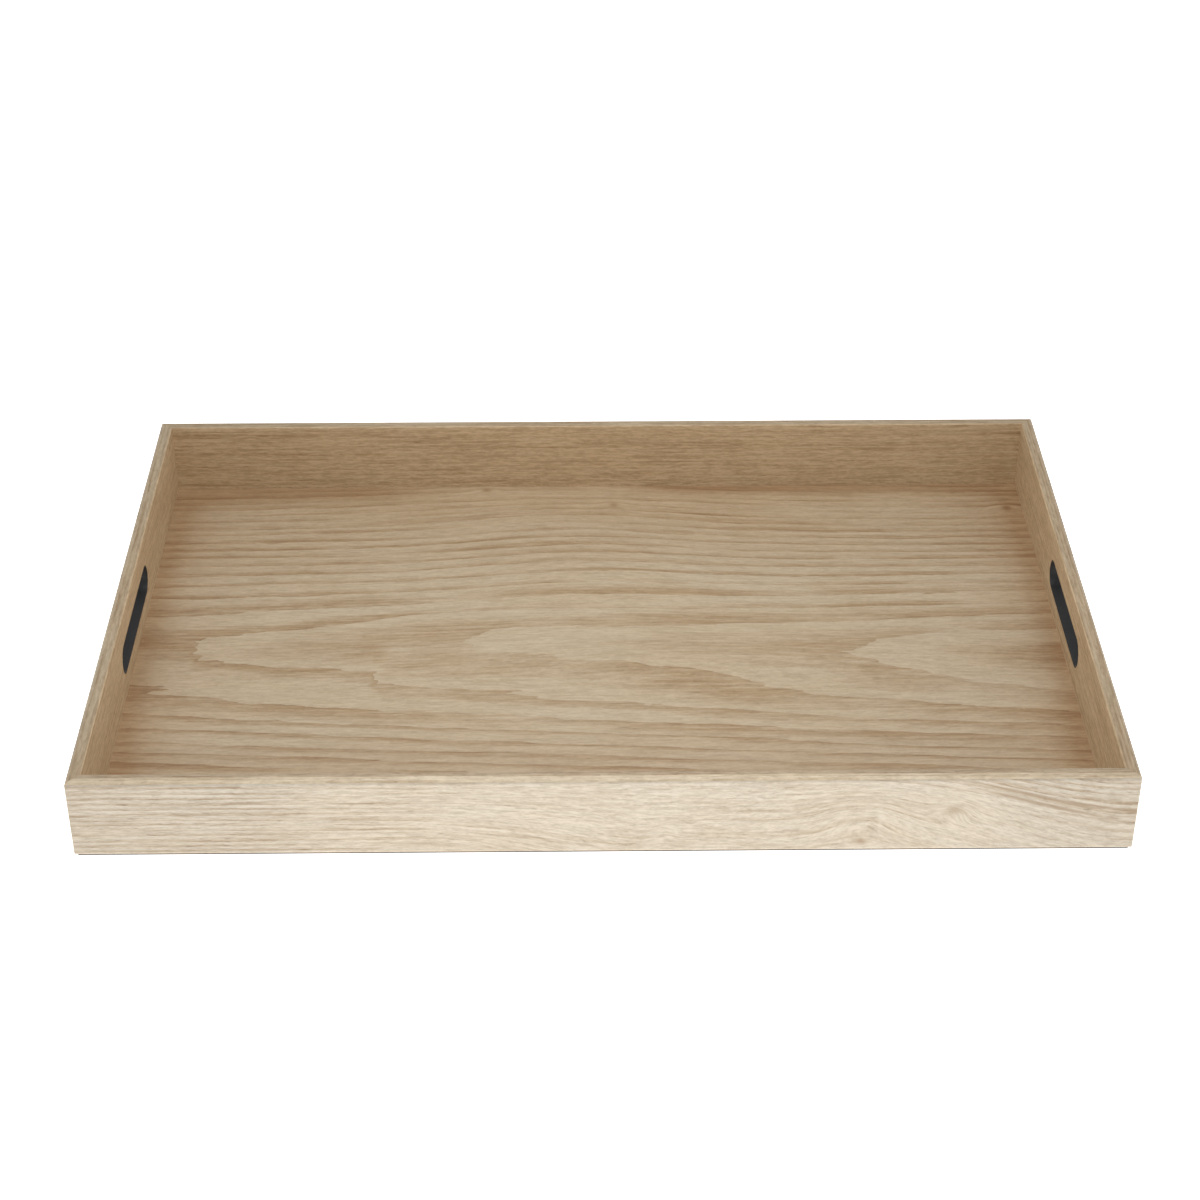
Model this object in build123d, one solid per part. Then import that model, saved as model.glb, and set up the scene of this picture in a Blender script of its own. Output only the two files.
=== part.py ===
from build123d import *
import os

# Rectangular ash-veneered serving tray with a hand slot in each short wall.
#
# The tray rests on its underside lining. The origin is the middle of the underside, +X runs
# along the long walls, -Y is the front and +Z is up. All sizes are in millimetres.

# Overall size
LENGTH = 600.0
WIDTH = 400.0
HEIGHT = 53.0

# Thickness of each layer
LINING = 1.0
VENEER = 0.5
BASE_CORE = 3.0
WALL_CORE = 7.5
LIPPING_HEIGHT = 4.0

# How far the lining stays in from the outer faces
LINING_INSET = 2.0

# Rounding of the finished edges
RIM_OUTER_RADIUS = 3.0
RIM_INNER_RADIUS = 1.0
FOOT_RADIUS = 2.5
CORNER_RADIUS = 1.5

# Rebate along the bottom of each wall: the land left outside the floor panel
LAND = 4.0

# Hand slots, measured across the cut in the wood
SLOT_LENGTH = 105.0
SLOT_HEIGHT = 20.0
SLOT_CENTRE_HEIGHT = HEIGHT / 2
GRIP_EDGING = 1.0
GRIP_EASING = 0.4

# V-nails in the mitres: a square-cornered V seen from below
NAIL_INSET = 2.8
NAIL_LEG = 5.0
NAIL_THICKNESS = 0.5
NAIL_HEIGHT = 12.0

# Brads that hold the floor panel up into the walls
BRAD_RADIUS = 0.6
BRAD_LENGTH = 12.0
BRAD_HEAD_RADIUS = 1.1
BRAD_HEAD_HEIGHT = 0.6
BRADS_ON_LONG_WALL = 6
BRADS_ON_SHORT_WALL = 4
LONG_WALL_BRAD_PITCH = 100.0
SHORT_WALL_BRAD_PITCH = 100.0

# Worked out from the sizes above
WALL = WALL_CORE + 2 * VENEER
CORE_INNER = WALL - VENEER
FLOOR_TOP = LINING + BASE_CORE + VENEER
RIM_CORE_TOP = HEIGHT - LIPPING_HEIGHT
PANEL_LENGTH = LENGTH - 2 * LAND
PANEL_WIDTH = WIDTH - 2 * LAND

# The two ends of each wall, as the corners of the tray that they share
SIDES = {
    "front": ((-1, -1), (1, -1)),
    "right": ((1, -1), (1, 1)),
    "back": ((1, 1), (-1, 1)),
    "left": ((-1, 1), (-1, -1)),
}
SLOTTED_SIDES = ("left", "right")


def corner(signs, inset):
    """A point on a corner's mitre line, inset from both outer faces."""
    return (signs[0] * (LENGTH / 2 - inset), signs[1] * (WIDTH / 2 - inset))


def side_plane(side):
    """A wall's section plane: x points inwards from the outer face, y up, z along the wall."""
    start, end = (Vector(*corner(signs, 0)) for signs in SIDES[side])
    along = (end - start).normalized()
    inwards = Vector(0, 0, 1).cross(along)
    return Plane(origin=(start + end) / 2, x_dir=inwards, z_dir=along)


def band(inner_from, inner_to, bottom, top):
    """A rectangle in a wall's section, between two depths and two heights."""
    width = inner_to - inner_from
    height = top - bottom
    return Pos((inner_from + inner_to) / 2, (bottom + top) / 2) * Rectangle(width, height)


def round_corner(section, point, radius):
    """Round the section's corner nearest to a point."""
    return fillet(section.vertices().sort_by_distance(point)[0], radius)


def wall_section():
    """The whole section of a finished wall, with its rounded edges and its rebate."""
    section = band(0, WALL, LINING, HEIGHT)
    section = round_corner(section, (0, HEIGHT), RIM_OUTER_RADIUS)
    section = round_corner(section, (WALL, HEIGHT), RIM_INNER_RADIUS)
    section = round_corner(section, (0, LINING), FOOT_RADIUS)
    return section - band(LAND, WALL, LINING, FLOOR_TOP)


def mitred_plan(side):
    """A wall's outline from above: mitred at 45 degrees, with its outer corners eased."""
    start, end = SIDES[side]
    outline = Polyline(
        corner(start, 0), corner(end, 0), corner(end, WALL), corner(start, WALL), close=True
    )
    return make_face(outline) & RectangleRounded(LENGTH, WIDTH, CORNER_RADIUS)


def wall_layer(side, region):
    """One layer of a wall: the part of the wall's section inside a region, cut at the mitres."""
    plane = side_plane(side)
    run = LENGTH if side in ("front", "back") else WIDTH
    bar = extrude(plane * (wall_section() & region), amount=run / 2, both=True)
    return bar & extrude(mitred_plan(side), amount=HEIGHT)


def slot_prism(side, shrink):
    """The hand slot's space right through a wall, or a smaller one inside it."""
    middle = side_plane(side)
    across = Plane(
        origin=middle.origin + Vector(0, 0, SLOT_CENTRE_HEIGHT), x_dir=middle.z_dir, z_dir=middle.x_dir
    )
    outline = SlotOverall(SLOT_LENGTH - 2 * shrink, SLOT_HEIGHT - 2 * shrink)
    return extrude(across * outline, amount=WALL)


def grip_edging(side):
    """Black edging that lines a hand slot, flush with both faces, its lips eased."""
    ring = slot_prism(side, 0) - slot_prism(side, GRIP_EDGING)
    ends = ring.faces().filter_by(Axis.X)
    lips = [edge for end in ends for opening in end.inner_wires() for edge in opening.edges()]
    return fillet(lips, GRIP_EASING)


def corner_v_nail(signs):
    """One V-nail, its point towards the tray's corner and a leg along each wall."""
    outer_x, outer_y = corner(signs, NAIL_INSET)
    inner_x, inner_y = corner(signs, NAIL_INSET + NAIL_THICKNESS)
    tip_x = outer_x - signs[0] * NAIL_LEG
    tip_y = outer_y - signs[1] * NAIL_LEG
    outline = Polyline(
        (outer_x, outer_y),
        (tip_x, outer_y),
        (tip_x, inner_y),
        (inner_x, inner_y),
        (inner_x, tip_y),
        (outer_x, tip_y),
        close=True,
    )
    return Pos(0, 0, LINING) * extrude(make_face(outline), amount=NAIL_HEIGHT)


def brad():
    """One brad, standing on its head at the origin."""
    head = extrude(Circle(BRAD_HEAD_RADIUS), amount=BRAD_HEAD_HEIGHT)
    return head + extrude(Circle(BRAD_RADIUS), amount=BRAD_LENGTH)


def brad_places():
    """Where the brads stand: a row along each wall, midway across the panel's supported edge."""
    inset = (LAND + CORE_INNER) / 2
    for sign in (-1, 1):
        for i in range(BRADS_ON_LONG_WALL):
            along = (i - (BRADS_ON_LONG_WALL - 1) / 2) * LONG_WALL_BRAD_PITCH
            yield Pos(along, sign * (WIDTH / 2 - inset), LINING)
        for i in range(BRADS_ON_SHORT_WALL):
            along = (i - (BRADS_ON_SHORT_WALL - 1) / 2) * SHORT_WALL_BRAD_PITCH
            yield Pos(sign * (LENGTH / 2 - inset), along, LINING)


def sheet(length, width, bottom, thickness):
    """A flat rectangular sheet centred on the tray."""
    return Pos(0, 0, bottom) * extrude(Rectangle(length, width), amount=thickness)


nails = [corner_v_nail(start) for start, _ in SIDES.values()]
brads = [place * brad() for place in brad_places()]

parts = {
    "corner_v_nails": Compound(children=nails),
    "base_brads": Compound(children=brads),
    "underside_lining": sheet(LENGTH - 2 * LINING_INSET, WIDTH - 2 * LINING_INSET, 0, LINING),
    "base_core": sheet(PANEL_LENGTH, PANEL_WIDTH, LINING, BASE_CORE) - brads,
    "floor_veneer": sheet(PANEL_LENGTH, PANEL_WIDTH, LINING + BASE_CORE, VENEER) - brads,
}

for side in SIDES:
    outer_veneer = wall_layer(side, band(0, VENEER, LINING, HEIGHT))
    core = wall_layer(side, band(VENEER, CORE_INNER, LINING, RIM_CORE_TOP)) - nails - brads
    inner_veneer = wall_layer(side, band(CORE_INNER, WALL, FLOOR_TOP, HEIGHT))
    lipping = wall_layer(side, band(VENEER, CORE_INNER, RIM_CORE_TOP, HEIGHT))
    if side in SLOTTED_SIDES:
        slot = slot_prism(side, 0)
        outer_veneer = outer_veneer - slot
        core = core - slot
        inner_veneer = inner_veneer - slot
        parts[side + "_grip_edging"] = grip_edging(side)
    parts[side + "_outer_veneer"] = outer_veneer
    parts[side + "_wall_core"] = core
    parts[side + "_inner_veneer"] = inner_veneer
    parts[side + "_rim_lipping"] = lipping

os.makedirs("parts", exist_ok=True)
for name, shape in parts.items():
    export_step(shape, "parts/" + name + ".step")
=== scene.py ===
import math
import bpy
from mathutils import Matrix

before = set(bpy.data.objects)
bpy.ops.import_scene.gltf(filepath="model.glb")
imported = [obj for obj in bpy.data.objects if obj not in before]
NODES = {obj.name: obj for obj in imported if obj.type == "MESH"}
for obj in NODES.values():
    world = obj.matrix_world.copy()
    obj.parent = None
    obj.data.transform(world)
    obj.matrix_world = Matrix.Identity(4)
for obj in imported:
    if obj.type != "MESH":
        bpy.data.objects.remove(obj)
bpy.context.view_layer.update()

# Looks and studio for the ash-veneered serving tray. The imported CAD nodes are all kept: each gets
# a procedural material, worked out in millimetres along and across its own grain.

from types import SimpleNamespace

import bpy
from mathutils import Vector

MM = 0.001

# Camera: where it stands round the tray, and the point it looks at
CAMERA_AZIMUTH = math.radians(-0.61)
CAMERA_ELEVATION = math.radians(34.12)
CAMERA_DISTANCE = 1.5688
CAMERA_AIM = Vector((0.0, 0.0197, 0.025))
CAMERA_LENS = 74.1
CAMERA_SENSOR = 36.0

# Studio light
WHITE = (1, 1, 1, 1)
SKY_OVERHEAD = 0.38
SKY_HORIZON = 1.25
HORIZON_BAND = 0.3
TABLE_COLOUR = 0.8
TABLE_ROUGHNESS = 0.9
TABLE_GLOW = 1.3
TABLE_SIZE = 10.0
SOFTBOX_SIZE = (0.55, 0.4)
SOFTBOX_PLACE = (0.0, -0.05, 0.62)
SOFTBOX_POWER = 2.6


# Building materials


def linear(red, green, blue):
    """A colour picked on a 0 to 255 display scale, as the shader's linear values."""
    def decode(value):
        value /= 255
        return value / 12.92 if value <= 0.04045 else ((value + 0.055) / 1.055) ** 2.4
    return (decode(red), decode(green), decode(blue), 1.0)


class Field:
    """A number that varies over a surface. Arithmetic on fields adds Math nodes to their tree."""

    def __init__(self, tree, socket):
        self.tree = tree
        self.socket = socket

    def math(self, operation, *others):
        node = self.tree.nodes.new("ShaderNodeMath")
        node.operation = operation
        for slot, value in zip(node.inputs, (self, *others)):
            connect(self.tree, value, slot)
        return Field(self.tree, node.outputs[0])

    def __add__(self, other):
        return self.math("ADD", other)

    def __sub__(self, other):
        return self.math("SUBTRACT", other)

    def __mul__(self, other):
        return self.math("MULTIPLY", other)

    def __truediv__(self, other):
        return self.math("DIVIDE", other)

    def __pow__(self, other):
        return self.math("POWER", other)

    __radd__ = __add__
    __rmul__ = __mul__

    def __rsub__(self, other):
        return self * -1 + other

    def floor(self):
        return self.math("FLOOR")

    def fraction(self):
        return self.math("FRACT")

    def root(self):
        return self.math("SQRT")

    def size(self):
        return self.math("ABSOLUTE")

    def step(self, start, end):
        """A smooth step: 0 at start and 1 at end, whichever is the larger."""
        node = self.tree.nodes.new("ShaderNodeMapRange")
        node.interpolation_type = "SMOOTHSTEP"
        for slot, value in zip(node.inputs, (self, start, end)):
            connect(self.tree, value, slot)
        return Field(self.tree, node.outputs[0])

    def hill(self, centre, reach):
        """A smooth hill, 1 at its centre and close to 0 beyond about two reaches."""
        return (((self - centre) / reach) ** 2 * -1).math("EXPONENT")


def connect(tree, value, slot):
    """Feed a node's input from a field, from another node's output, or with a constant."""
    if isinstance(value, Field):
        tree.links.new(value.socket, slot)
    elif isinstance(value, bpy.types.NodeSocket):
        tree.links.new(value, slot)
    else:
        slot.default_value = value


class Surface:
    """One material under construction, with its place on the tray in millimetres."""

    def __init__(self, name, specular=0.5):
        self.material = bpy.data.materials.new(name)
        self.material.use_nodes = True
        self.tree = self.material.node_tree
        self.shader = self.tree.nodes["Principled BSDF"]
        self.shader.inputs["Specular IOR Level"].default_value = specular
        coordinates = self.tree.nodes.new("ShaderNodeTexCoord")
        split = self.tree.nodes.new("ShaderNodeSeparateXYZ")
        self.tree.links.new(coordinates.outputs["Object"], split.inputs[0])
        self.axes = {axis: Field(self.tree, split.outputs[axis]) / MM for axis in "XYZ"}
        self.place = tuple(self.axes.values())

    def joined(self, *parts):
        node = self.tree.nodes.new("ShaderNodeCombineXYZ")
        for slot, value in zip(node.inputs, parts):
            connect(self.tree, value, slot)
        return node.outputs[0]

    def noise(self, place, grain, octaves=2.0, roughness=0.5):
        """Noise from -1 to 1 that repeats about once per grain length along each part of place."""
        node = self.tree.nodes.new("ShaderNodeTexNoise")
        scaled = [part * (1 / length) for part, length in zip(place, grain)]
        self.tree.links.new(self.joined(*scaled), node.inputs["Vector"])
        node.inputs["Scale"].default_value = 1.0
        node.inputs["Detail"].default_value = octaves
        node.inputs["Roughness"].default_value = roughness
        return Field(self.tree, node.outputs[0]) * 2 - 1

    def chance(self, key):
        """A random value from 0 to 1 for each whole number."""
        node = self.tree.nodes.new("ShaderNodeTexWhiteNoise")
        node.noise_dimensions = "1D"
        connect(self.tree, key, node.inputs["W"])
        return Field(self.tree, node.outputs["Value"])

    def mix(self, share, first, second, blend="MIX"):
        """A colour between two, by share. With MULTIPLY, the first is multiplied by the second."""
        node = self.tree.nodes.new("ShaderNodeMix")
        node.data_type = "RGBA"
        node.blend_type = blend
        node.clamp_factor = True
        for slot, value in (("Factor", share), ("A", first), ("B", second)):
            connect(self.tree, value, node.inputs[slot])
        return node.outputs["Result"]

    def finish(self, colour, roughness, height, depth):
        """Wire up the shader: colour, roughness, and a bump as deep as depth millimetres."""
        connect(self.tree, colour, self.shader.inputs["Base Color"])
        connect(self.tree, roughness, self.shader.inputs["Roughness"])
        bump = self.tree.nodes.new("ShaderNodeBump")
        bump.inputs["Distance"].default_value = depth * MM
        connect(self.tree, height, bump.inputs["Height"])
        connect(self.tree, bump.outputs[0], self.shader.inputs["Normal"])
        return self.material


# Growth rings: the growth in rings, and the rings crossed per millimetre


def straight_rings(u, v, pitch):
    """Rings that run along the sheet."""
    return v / pitch, 1 / pitch


# The flat-sawn sheet: its tree, and where the tree's middle line and first ring tip lie
TRUNK_RADIUS = 165.0
TRUNK_MIDDLE = -15.5
TRUNK_SLANT = 0.022
FIRST_TIP = -292.0
TRUNK_TAPER = 7.7


def cathedral_rings(u, v, pitch):
    """Rings of a flat-sawn sheet: a cone of rings cut along its side, with its tips towards -u."""
    off_middle = v - TRUNK_MIDDLE + u * TRUNK_SLANT
    depth = TRUNK_RADIUS ** 2 - (u - FIRST_TIP) * TRUNK_TAPER
    radius = (off_middle * off_middle + depth).root()
    return (radius - TRUNK_RADIUS) / pitch, off_middle.size() / radius / pitch


# Marks on a sheet: each is an amount, how it fades along the grain and how it fades across it

# A fade that is 1 all along the tray, or all across it
ALL = ("step", -301, -300)


def spot(amount, centre, reach):
    """A mark that fades all round its centre. Centre and reach are both along, then across."""
    return amount, ("hill", centre[0], reach[0]), ("hill", centre[1], reach[1])


def total(marks, u, v):
    """The sum of some marks at a place on the sheet."""
    fields = [
        getattr(u, along)(*along_at) * getattr(v, across)(*across_at) * amount
        for amount, (along, *along_at), (across, *across_at) in marks
    ]
    return sum(fields[1:], fields[0]) if fields else 0.0


# Ash colours, before light falls on them
PALE = (200, 185, 160)
WARM_PALE = (195, 174, 144)
BROWN = (174, 147, 114)
DARK = (148, 120, 88)
PORE = (124, 99, 72)
FILLER = (206, 186, 152)

# What the finest grain multiplies the colour by where it is darkest
SHADED = (0.78, 0.755, 0.715)

# The noises in ash: how long a grain is along the sheet, across it and through it, in
# millimetres, then the octaves and their roughness
ASH_NOISES = {
    "crowd": ((420.0, 9.0, 40.0), 1.0),
    "shiver": ((42.0, 8.0, 9.0), 3.0, 0.55),
    "fibre": ((22.0, 1.6, 3.0), 3.0, 0.6),
    "streak": ((34.0, 3.2, 6.0), 4.0, 0.65),
    "patch": ((95.0, 26.0, 60.0), 2.0),
    "cloud": ((150.0, 38.0, 60.0), 3.0, 0.55),
    "mottle": ((38.0, 4.5, 6.0), 3.0, 0.7),
}
# The finest of them, for a breadth of 1
FINE_NOISES = {
    "strand": ((48.0, 2.4, 4.0), 3.0, 0.7),
    "fleck": ((15.0, 2.0, 3.0), 3.0, 0.7),
    "dash": ((7.0, 1.5, 1.8), 2.0, 0.6),
    "grit": ((8.0, 1.7, 2.0), 2.0, 0.85),
}
WANDER_NOISE = ((210.0, 60.0, 90.0), 1.0)
STRENGTH_NOISE = ((120.0, 1.0), 1.0)
CURL_NOISE = ((3.5, 30.0, 9.0), 2.0)
CRUMB_NOISE = ((3.0, 3.0, 3.0), 2.0)

# How far apart in the noises two seeds lie, along and across the grain, and two rings
SEED_STEP = (731.0, 57.0)
RING_STEP = (371.0, 3.7)
SEED_RINGS = 17.0

# How fast the grain changes through a sheet, against across it
THROUGH = 0.2

# How far fine grain frays the grain lines, where nudges lie along the grain, and where painted
# shade lies along and across it, in millimetres; and how far it frays the growth, in rings
LINE_FRAY = 0.6
NUDGE_FRAY = 20.0
PAINTED_SHADE_FRAY = (5.0, 1.5)
GROWTH_FRAY = 0.2

# How wide the sharp dark start of a ring is, and how deep the open pores are, in millimetres
RING_START = 2.4
ASH_RELIEF = 0.12

# How ash looks unless a sheet says otherwise
SOUND = {
    "tint": (1, 1, 1),      # red, green and blue, against the palette
    "sway": 2.0,            # how far the grain wanders, in millimetres
    "crowding": 2.0,        # how unevenly the rings are spaced, in millimetres
    "boldness": 0.0,        # how many rings turn brown
    "brownness": 1.0,       # how brown they get
    "warmth": 0.0,          # how warm the wood between them is
    "lines": 0.35,          # how dark the start of a ring is
    "flecks": 0.5,          # how strong the flecks and pores are
    "scatter": 0.2,         # how many of them lie outside the brown bands
    "grit": 1.0,            # how strong the finest grain is
    "breadth": 1.0,         # how broad the finest grain is
    "shifts": (),           # marks that move the grain lines across, in millimetres
    "nudges": (),           # marks that move the growth, in rings
    "patches": (),          # marks that make the rings browner
    "stains": (),           # dark marks, such as knots
    "streaks": (),          # dark marks that follow the grain
    "fillings": (),         # pale marks
    "curl": (),             # marks that ripple the wood across its grain
    "deep": (1, 1, 1),      # red, green and blue that painted shade multiplies the wood by
    "deepened": (),         # marks of painted shade, which darken the wood
}


def ash(name, along, across, pitch, rings=straight_rings, seed=0.0, **changes):
    """Satin ash, with its rings, streaks, pores, marks and painted shade. Pitch is a ring's, in
    millimetres.
    """
    look = SimpleNamespace(**{**SOUND, **changes})
    surface = Surface(name)
    wood = ash_grain(surface, look, along, across, pitch, rings, seed)
    colour = ash_marks(surface, look, wood, ash_colour(surface, look, wood))

    # Brushed and lacquered: pores stay open, the brown bands lie slightly lower and duller
    open_grain = (1 - wood.pore) * 0.6 + (1 - wood.grainy) * 0.4
    height = open_grain + (1 - wood.early) * 0.2 + wood.fibre * 0.12
    roughness = wood.early * 0.1 + wood.pore * 0.15 + wood.fibre * 0.05 + 0.46
    return surface.finish(colour, roughness, height, ASH_RELIEF)


def ash_grain(surface, look, along, across, pitch, rings, seed):
    """The wood as fields: where each place lies in its ring, its noises, flecks and pores."""
    u, v = surface.axes[along], surface.axes[across]
    thick = next(field for axis, field in surface.axes.items() if axis not in (along, across))

    # Where the fibres run
    start = (u + seed * SEED_STEP[0], v + seed * SEED_STEP[1], thick * THROUGH)
    line = v + surface.noise(start, *WANDER_NOISE) * look.sway - total(look.shifts, u, v)
    seeded = (start[0], line + seed * SEED_STEP[1], start[2])
    wood = SimpleNamespace(u=u, v=v, line=line, seeded=seeded)
    for key, noise in ASH_NOISES.items():
        setattr(wood, key, surface.noise(seeded, *noise))
    for key, ((length, breadth, depth), *octaves) in FINE_NOISES.items():
        grain = (length, breadth * look.breadth, depth)
        setattr(wood, key, surface.noise(seeded, grain, *octaves))

    # The growth rings: which one this is, how old it is here, and how brown it turns
    wood.frayed_line = line + wood.fibre * LINE_FRAY
    growth, crossed = rings(u, wood.frayed_line + wood.crowd * look.crowding, pitch)
    nudge = total(look.nudges, u + wood.shiver * NUDGE_FRAY, v)
    growth = growth + wood.shiver * GROWTH_FRAY + nudge
    ring = growth.floor()
    age = growth.fraction()
    luck = surface.chance(ring + seed * SEED_RINGS + 0.5)
    in_ring = (u + ring * RING_STEP[0], ring * RING_STEP[1])
    strength = surface.noise(in_ring, *STRENGTH_NOISE) * 0.8 + 0.75
    bold = strength + wood.patch * 0.6 + look.boldness + total(look.patches, u, line)
    browner = bold.step(-0.1, 1.1)

    # Earlywood: a sharp dark start, a brown band of open pores, then smooth pale latewood
    width = luck * 0.5 + wood.patch * 0.3 + 0.45
    band = (age + wood.streak * 0.4).step(width, width * 0.2)
    uneven = wood.streak * 0.8 + wood.strand * 0.7 + 0.85
    wood.early = band * browner * uneven * look.brownness
    wood.edge = (age / crossed).step(RING_START, 0.0) * browner * wood.strand.step(-0.35, 0.2)
    among = band * browner * (1 - look.scatter) + look.scatter
    flecked = wood.fleck.step(0.1, 0.3) * 0.6 + wood.strand.step(0.05, 0.25) * 0.4
    wood.grainy = flecked * among * look.flecks
    wood.pore = wood.dash.step(0.2, 0.4) * among
    return wood


def ash_colour(surface, look, wood):
    """Sound wood: pale and brown bands, dark ring starts, flecks, pores and fine grain."""
    pale, warm, brown, dark, open_pore = (
        tuple(value * part for value, part in zip(linear(*pick), (*look.tint, 1)))
        for pick in (PALE, WARM_PALE, BROWN, DARK, PORE)
    )
    wood.pale, wood.dark = pale, dark
    warmer = wood.cloud * 0.7 + wood.streak * 0.5 + (0.5 + look.warmth)
    colour = surface.mix(warmer, pale, warm)
    colour = surface.mix(wood.early, colour, brown)
    colour = surface.mix(wood.grainy, colour, dark)
    colour = surface.mix(wood.edge * look.lines, colour, dark)
    colour = surface.mix(wood.pore * look.flecks * 0.6, colour, open_pore)
    paler = wood.fleck.step(-0.1, -0.3) + wood.strand.step(-0.1, -0.25)
    colour = surface.mix(paler * look.flecks * 0.35, colour, pale)
    fine = (wood.grit * 1.5 + wood.strand * 0.6 + wood.mottle * 0.5) * look.grit + 0.5
    return surface.mix(fine, colour, (*SHADED, 1), "MULTIPLY")


def ash_marks(surface, look, wood, colour):
    """The sheet's own marks, over sound wood of some colour, then its painted shade."""
    if look.curl:
        ripple = surface.noise(wood.seeded, *CURL_NOISE) * total(look.curl, wood.u, wood.v)
        colour = surface.mix(ripple.step(0.0, 0.8) * 0.6, colour, wood.pale)
    if look.stains:
        colour = surface.mix(total(look.stains, wood.u, wood.v), colour, wood.dark)
    if look.streaks:
        broken = wood.strand.step(-0.4, 0.1)
        streaked = total(look.streaks, wood.u, wood.frayed_line) * broken
        colour = surface.mix(streaked, colour, wood.dark)
    if look.fillings:
        crumb = surface.noise(wood.seeded, *CRUMB_NOISE) + 0.8
        filled = total(look.fillings, wood.u, wood.v) * crumb
        colour = surface.mix(filled, colour, linear(*FILLER))
    # Painted shade: the wood is multiplied by the shade colour where these marks lie
    if look.deepened:
        frayed_u = wood.u + wood.strand * PAINTED_SHADE_FRAY[0]
        frayed_v = wood.v + wood.shiver * PAINTED_SHADE_FRAY[1]
        deepened = total(look.deepened, frayed_u, frayed_v)
        colour = surface.mix(deepened, colour, (*look.deep, 1), "MULTIPLY")
    return colour


# The darkest and the palest of each other material
FIBREBOARD_COLOURS = (linear(150, 122, 90), linear(184, 158, 124))
EDGING_COLOURS = (linear(30, 30, 31), linear(46, 46, 46))
FELT_COLOURS = (linear(22, 22, 23), linear(52, 51, 50))
STEEL_COLOURS = (linear(150, 150, 152), linear(188, 188, 190))


def fibreboard():
    """The cut edge of fibreboard: fine felted fibres."""
    surface = Surface("fibreboard", specular=0.3)
    speck = surface.noise(surface.place, (1.2, 1.2, 0.4), 4.0, 0.7)
    cloud = surface.noise(surface.place, (14.0, 14.0, 6.0), 2.0)
    colour = surface.mix(speck * 0.6 + cloud * 0.3 + 0.5, *FIBREBOARD_COLOURS)
    return surface.finish(colour, roughness=speck * 0.08 + 0.8, height=speck, depth=0.15)


def edging():
    """Black moulded edging with a fine leathery grain."""
    surface = Surface("grip_edging", specular=0.45)
    grain = surface.noise(surface.place, (0.7, 0.7, 0.7), 3.0, 0.6)
    rub = surface.noise(surface.place, (9.0, 9.0, 9.0), 2.0)
    colour = surface.mix(rub * 0.5 + grain * 0.2 + 0.5, *EDGING_COLOURS)
    roughness = grain * 0.06 + rub * 0.04 + 0.5
    return surface.finish(colour, roughness, height=grain, depth=0.05)


def felt():
    """Black needled felt: short tangled fibres with a soft sheen."""
    surface = Surface("lining_felt", specular=0.2)
    surface.shader.inputs["Sheen Weight"].default_value = 0.05
    surface.shader.inputs["Sheen Roughness"].default_value = 0.6
    x, y, z = surface.place
    tangle = surface.noise((x, y, z), (0.9, 0.9, 0.9), 5.0, 0.75)
    swirl = surface.noise((x + tangle * 3, y - tangle * 2, z), (3.0, 0.8, 1.0), 3.0, 0.6)
    nap = surface.noise((x, y, z), (45.0, 60.0, 30.0), 2.0)
    share = tangle * 0.4 + swirl * 0.3 + nap * 0.15 + 0.45
    colour = surface.mix(share, *FELT_COLOURS)
    height = tangle + swirl * 0.6
    return surface.finish(colour, roughness=tangle * 0.04 + 0.93, height=height, depth=0.35)


def steel():
    """Bright drawn steel."""
    surface = Surface("nail_steel")
    surface.shader.inputs["Metallic"].default_value = 1.0
    drawn = surface.noise(surface.place, (0.15, 0.15, 4.0), 2.0)
    colour = surface.mix(drawn * 0.5 + 0.5, *STEEL_COLOURS)
    return surface.finish(colour, roughness=drawn * 0.08 + 0.34, height=drawn, depth=0.01)


# How each ash sheet looks. A tint is red, green and blue against the palette.

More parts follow.
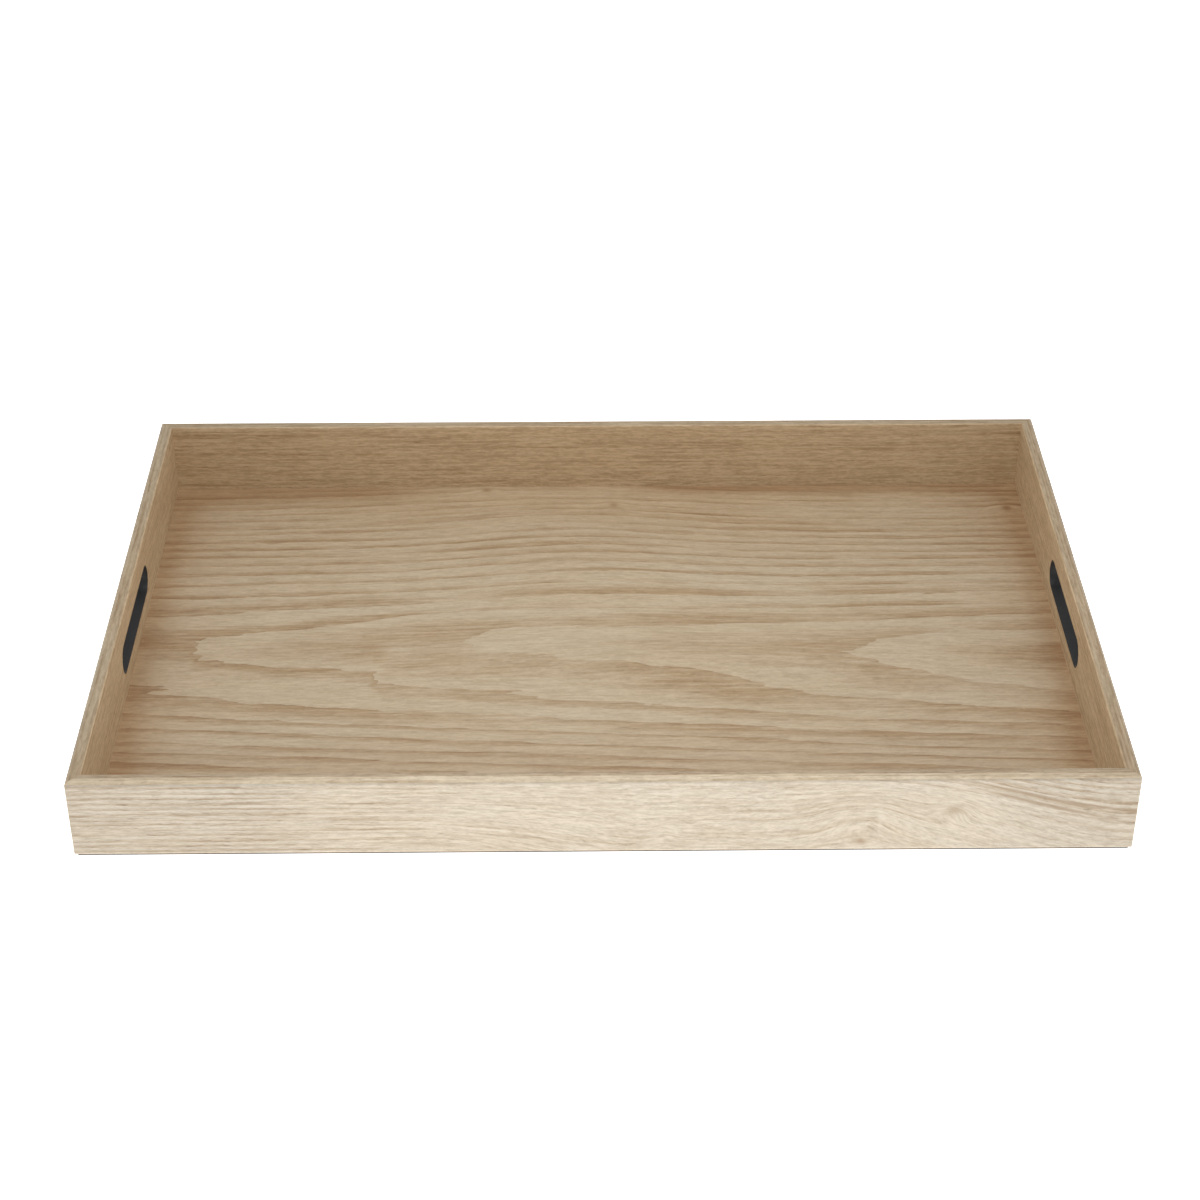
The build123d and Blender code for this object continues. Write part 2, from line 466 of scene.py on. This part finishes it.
# The floor's small knots: the place of each; how far it bends the grain lines, in millimetres,
# and its reach each way; how dark it is, and its reach each way
FLOOR_KNOTS = [
    ((11, 167), (3.5, (11, 7)), (0.7, (3.2, 2.4))),
    ((-77, 187), (3.5, (10, 6)), (0.8, (3.5, 2.2))),
    ((281, 160), (4.5, (12, 10)), (0.9, (3.0, 3.0))),
]
FLOOR_ENDS = (-292, 292)
FLOOR_LOOK = {
    "tint": (1.115, 1.12, 1.115),
    "sway": 1.2,
    "crowding": 3.0,
    "brownness": 1.1,
    "flecks": 0.4,
    "grit": 0.9,
    "breadth": 0.85,
    "shifts": [
        spot(11.0, (-12, 95), (85, 75)),
        spot(14.0, (60, -8), (200, 28)),
        spot(11.0, (-35, 165), (130, 42)),
        *(spot(bend, knot, reach) for knot, (bend, reach), _ in FLOOR_KNOTS),
    ],
    "nudges": [
        (0.35, ("step", -250, -258), ("hill", -10, 13)),
        (0.50, ("step", -136, -143), ("hill", -34, 16)),
        spot(0.45, (10, -38), (120, 20)),
        spot(-0.45, (-85, 30), (72, 16)),
        spot(-0.20, (-45, 8), (45, 14)),
        (-0.30, ("step", 150, 230), ("hill", -5, 20)),
    ],
    "patches": [
        spot(-0.7, (25, 40), (80, 7)),
        spot(-0.6, (-20, 66), (110, 6)),
        spot(0.5, (30, 54), (70, 5)),
        (0.6, ("step", -130, -150), ("hill", -10, 45)),
        (-0.3, ALL, ("step", 110, 150)),
    ],
    "stains": [spot(darkness, knot, reach) for knot, _, (darkness, reach) in FLOOR_KNOTS],
    "fillings": [spot(0.8, (-289, 190), (3.0, 2.0)), spot(0.6, (288, 190), (2.5, 1.5))],
    # Painted shade, warm like light thrown back from the walls: darker along the side walls, along
    # the back wall and towards the back, and over a band across the front part
    "deep": (0.70, 0.58, 0.48),
    "deepened": [
        *((0.65, ("hill", end, 15), ALL) for end in FLOOR_ENDS),
        *((0.30, ("hill", end, 40), ALL) for end in FLOOR_ENDS),
        (0.85, ("step", -70, -190), ("hill", 187, 15)),
        (0.80, ("step", 0, 70), ("hill", 189, 10)),
        spot(0.35, (-30, 191), (60, 5)),
        (0.30, ALL, ("step", 30, 170)),
        (0.30, ALL, ("hill", -130, 40)),
    ],
}

OUTER_LOOK = {
    "tint": (1.155, 1.227, 1.370),
    "sway": 3.0,
    "boldness": -0.3,
    "brownness": 0.8,
    "warmth": -0.2,
    "lines": 0.3,
    "flecks": 0.8,
    "scatter": 0.45,
    "grit": 1.2,
    "breadth": 0.7,
}
FRONT_OUTER_LOOK = {
    **OUTER_LOOK,
    "sway": 1.0,
    "shifts": [
        (-20.7, ("step", -108, 27), ("step", 60, -15)),
        (-21.0, ("step", 150, 300), ("step", -90, -80)),
        spot(7.0, (145, 24), (24, 16)),
        spot(4.0, (196, 30), (12, 7)),
        spot(1.5, (34, 14), (7, 9)),
    ],
    "patches": [
        (0.6, ("step", 165, 215), ("hill", 58, 5)),
        (-0.5, ("step", 165, 215), ("hill", 38, 13)),
        (-0.4, ("hill", 10, 120), ALL),
        (0.3, ("step", -120, -280), ("hill", 25, 60)),
    ],
    "stains": [spot(0.8, (145, 8), (4.0, 2.4)), spot(0.6, (196, 30), (5.0, 3.0))],
    "streaks": [
        (0.90, ("step", 190, 225), ("hill", 57.6, 0.9)),
        (0.75, ("step", 190, 225), ("hill", 54.2, 0.8)),
    ],
    "curl": [spot(1.0, (156, 26), (22, 30)), spot(0.8, (40, 30), (12, 30))],
    # Painted shade: darker towards both ends
    "deep": (0.925, 0.935, 0.945),
    "deepened": [(1.0, ("step", -130, -230), ALL), (1.0, ("step", 200, 255), ALL)],
}

INNER_LOOK = {
    "tint": (1.17, 1.12, 1.048),
    "sway": 2.0,
    "crowding": 4.0,
    "boldness": -0.2,
    "brownness": 0.6,
    "warmth": 0.5,
    "lines": 0.1,
    "flecks": 0.6,
    "scatter": 0.6,
    "grit": 1.5,
    "breadth": 0.85,
}
BACK_INNER_LOOK = {
    **INNER_LOOK,
    "fillings": [spot(0.5, (-288, 10), (3.0, 5.0)), spot(0.4, (286, 22), (3.5, 12.0))],
}

RIM_LOOK = {
    "tint": (0.965, 0.94, 0.90),
    "sway": 1.0,
    "brownness": 0.6,
    "lines": 0.15,
    "flecks": 0.7,
    "scatter": 0.6,
}
RIGHT_RIM_LOOK = {**RIM_LOOK, "tint": (1.03, 1.005, 0.965)}
# Painted highlight where it turns down to the front: the whole rim is tinted paler, and painted
# shade darkens the part behind
FRONT_RIM_PAINTED_LIGHT_LOOK = {
    **RIM_LOOK,
    "tint": (1.405, 1.456, 1.518),
    "deep": (0.68, 0.64, 0.61),
    "deepened": [(1.0, ALL, ("step", -196.8, -193.8))],
}

# The pitch of each kind's rings, in millimetres
FLOOR_PITCH = 5.5
FRONT_OUTER_PITCH = 3.7
OUTER_PITCH = 3.9
INNER_PITCH = 3.4
RIM_PITCH = 2.3

# Each kind's first seed
FLOOR_SEED = 1.0
OUTER_SEED = 2.0
INNER_SEED = 7.0
RIM_SEED = 12.0

# The walls, and the axis that each runs along
WALLS = {"front": "X", "back": "X", "left": "Y", "right": "Y"}


def dress(node, material):
    """Give a CAD node a material in place of the one it was packed with."""
    for slot in NODES[node].material_slots:
        slot.material = material


def dress_wall(number, side, along):
    """Dress one wall's veneers, rim and core. Its number sets it apart from the other walls."""
    outer = FRONT_OUTER_LOOK if side == "front" else OUTER_LOOK
    outer_pitch = FRONT_OUTER_PITCH if side == "front" else OUTER_PITCH
    inner = BACK_INNER_LOOK if side == "back" else INNER_LOOK
    rim = {"front": FRONT_RIM_PAINTED_LIGHT_LOOK, "right": RIGHT_RIM_LOOK}.get(side, RIM_LOOK)
    across = "Y" if along == "X" else "X"
    dress(side + "_outer_veneer", ash(
        side + "_outer_ash", along, "Z", outer_pitch, seed=OUTER_SEED + number, **outer
    ))
    dress(side + "_inner_veneer", ash(
        side + "_inner_ash", along, "Z", INNER_PITCH, seed=INNER_SEED + number, **inner
    ))
    dress(side + "_rim_lipping", ash(
        side + "_rim_ash", along, across, RIM_PITCH, seed=RIM_SEED + number, **rim
    ))
    dress(side + "_wall_core", fibreboard())


def studio():
    """A white table that glows like a lit sweep, a pale dome and one softbox overhead."""
    scene = bpy.context.scene
    scene.view_settings.view_transform = "Standard"

    bpy.ops.mesh.primitive_plane_add(size=TABLE_SIZE)
    table = bpy.context.object
    table.name = "table"
    white = bpy.data.materials.new("table_white")
    white.use_nodes = True
    shader = white.node_tree.nodes["Principled BSDF"]
    shader.inputs["Base Color"].default_value = (TABLE_COLOUR,) * 3 + (1,)
    shader.inputs["Roughness"].default_value = TABLE_ROUGHNESS
    shader.inputs["Specular IOR Level"].default_value = 0.0
    shader.inputs["Emission Color"].default_value = WHITE
    shader.inputs["Emission Strength"].default_value = TABLE_GLOW
    table.data.materials.append(white)

    world = bpy.data.worlds.new("sweep")
    world.use_nodes = True
    scene.world = world
    tree = world.node_tree
    direction = tree.nodes.new("ShaderNodeTexCoord")
    split = tree.nodes.new("ShaderNodeSeparateXYZ")
    tree.links.new(direction.outputs["Generated"], split.inputs[0])
    height = Field(tree, split.outputs["Z"])
    glow = height.step(HORIZON_BAND, 0.0) * (SKY_HORIZON - SKY_OVERHEAD) + SKY_OVERHEAD
    connect(tree, glow, tree.nodes["Background"].inputs["Strength"])
    tree.nodes["Background"].inputs["Color"].default_value = WHITE

    lamp = bpy.data.lights.new("softbox", "AREA")
    lamp.shape = "RECTANGLE"
    lamp.size, lamp.size_y = SOFTBOX_SIZE
    lamp.energy = SOFTBOX_POWER
    softbox = bpy.data.objects.new("softbox", lamp)
    softbox.location = SOFTBOX_PLACE
    scene.collection.objects.link(softbox)


def camera():
    """The camera, aimed from its azimuth and elevation round the tray."""
    back = Vector((
        math.sin(CAMERA_AZIMUTH) * math.cos(CAMERA_ELEVATION),
        -math.cos(CAMERA_AZIMUTH) * math.cos(CAMERA_ELEVATION),
        math.sin(CAMERA_ELEVATION),
    ))
    lens = bpy.data.cameras.new("camera")
    lens.sensor_width = CAMERA_SENSOR
    lens.lens = CAMERA_LENS
    view = bpy.data.objects.new("camera", lens)
    view.location = CAMERA_AIM + back * CAMERA_DISTANCE
    view.rotation_mode = "QUATERNION"
    view.rotation_quaternion = (-back).to_track_quat("-Z", "Y")
    bpy.context.scene.collection.objects.link(view)
    bpy.context.scene.camera = view


dress("floor_veneer", ash(
    "floor_ash", "X", "Y", FLOOR_PITCH, cathedral_rings, FLOOR_SEED, **FLOOR_LOOK
))
for number, (side, along) in enumerate(WALLS.items()):
    dress_wall(number, side, along)
dress("base_core", fibreboard())
dress("left_grip_edging", edging())
dress("right_grip_edging", edging())
dress("underside_lining", felt())
dress("corner_v_nails", steel())
dress("base_brads", steel())
studio()
camera()
